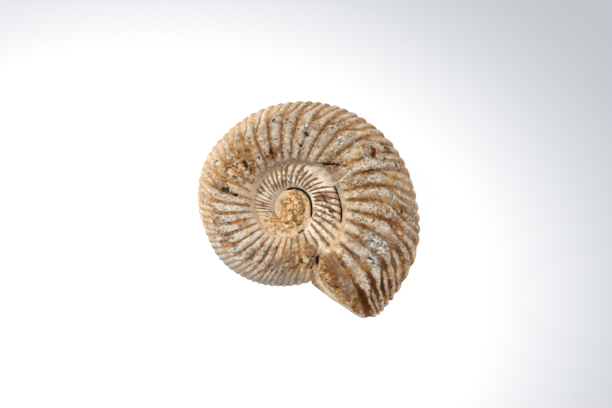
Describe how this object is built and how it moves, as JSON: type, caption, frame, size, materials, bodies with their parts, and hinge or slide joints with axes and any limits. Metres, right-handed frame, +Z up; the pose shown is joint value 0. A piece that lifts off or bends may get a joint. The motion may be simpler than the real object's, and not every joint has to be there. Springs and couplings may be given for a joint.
{
  "type": "ammonite fossil",
  "caption": "Ribbed ammonite fossil: a flat spiral shell filled with stone, broken off at the aperture, lying on its flank.",
  "frame": {"origin": "centre of the bounding box at the ground that the fossil lies on", "axes": "+Z up through the flank, near the coil's axis; +X to the right and +Y to the back, with the aperture at the front right"},
  "size_m": [0.0598, 0.0588, 0.0185],
  "materials": {
    "fossil_stone": "calcite and limestone: cream and grey ribs, orange-brown iron stain in the grooves, satin to dull"
  },
  "bodies": {
    "root": {"ammonite": "fossil_stone"}
  },
  "joints": []
}
